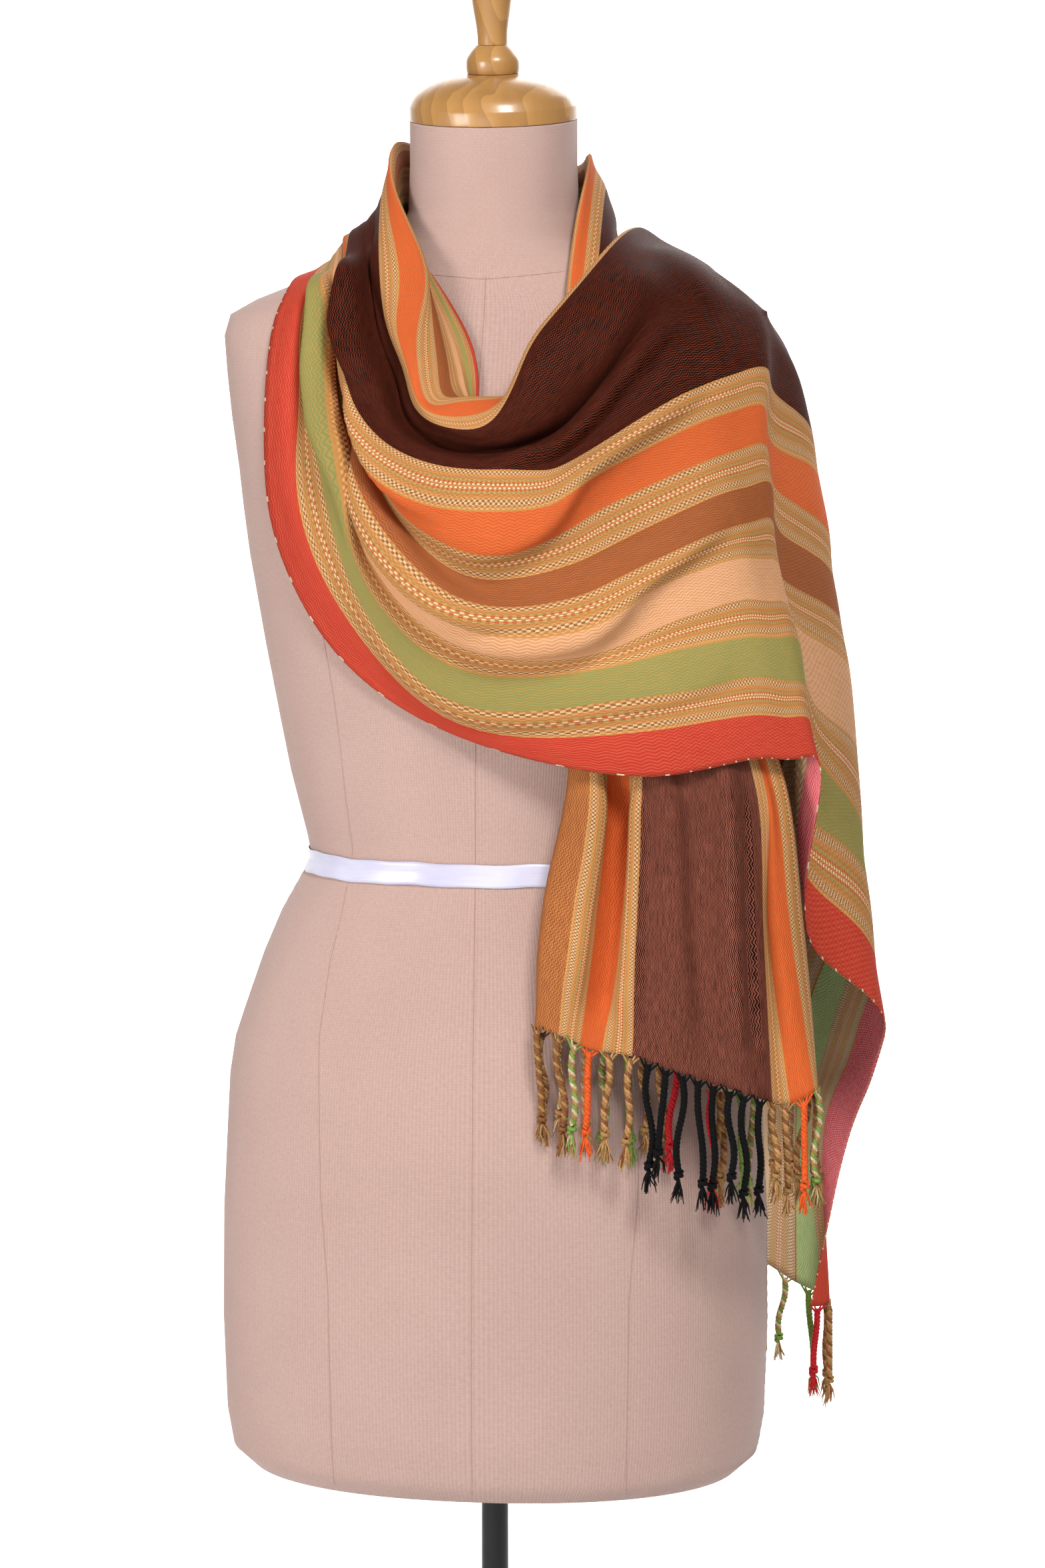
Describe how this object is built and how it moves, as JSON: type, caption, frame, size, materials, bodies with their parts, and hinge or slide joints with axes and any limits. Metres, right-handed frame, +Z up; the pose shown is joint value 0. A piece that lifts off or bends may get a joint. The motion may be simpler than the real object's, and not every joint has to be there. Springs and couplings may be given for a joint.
{
  "type": "shawl on a dress form",
  "caption": "Long striped woven shawl with twisted tassels, wound once round the neck and over one shoulder of a limbless dress form on a pole and round base.",
  "frame": {"origin": "centre of the base's underside, on the floor under the form's axis", "axes": "+Z up along the pole, -Y out of the form's front, +X to the form's left, the side of the shoulder that the shawl falls over"},
  "size_m": [0.4476, 0.37, 1.4355],
  "materials": {
    "form_cloth": "dusty pink-beige cotton over padding",
    "satin_tape": "white satin",
    "black_steel": "gloss black",
    "turned_wood": "clear varnish on pale wood",
    "striped_weave": "soft striped twill, slight sheen",
    "twisted_yarn": "twisted and knotted yarn"
  },
  "bodies": {
    "root": {"form_torso": "form_cloth", "waist_tape": "satin_tape", "stand_base": "black_steel", "pole_socket": "black_steel", "stand_pole": "black_steel", "neck_cap": "turned_wood", "cap_collar": "turned_wood", "finial": "turned_wood", "shawl_swag": "striped_weave", "shawl_cowl": "striped_weave", "shawl_neck_loop": "striped_weave", "shawl_front_tail": "striped_weave", "shawl_back_fall": "striped_weave", "fringe_right_fold": "twisted_yarn", "fringe_front": "twisted_yarn", "fringe_left_fold": "twisted_yarn", "fringe_back": "twisted_yarn"}
  },
  "joints": []
}
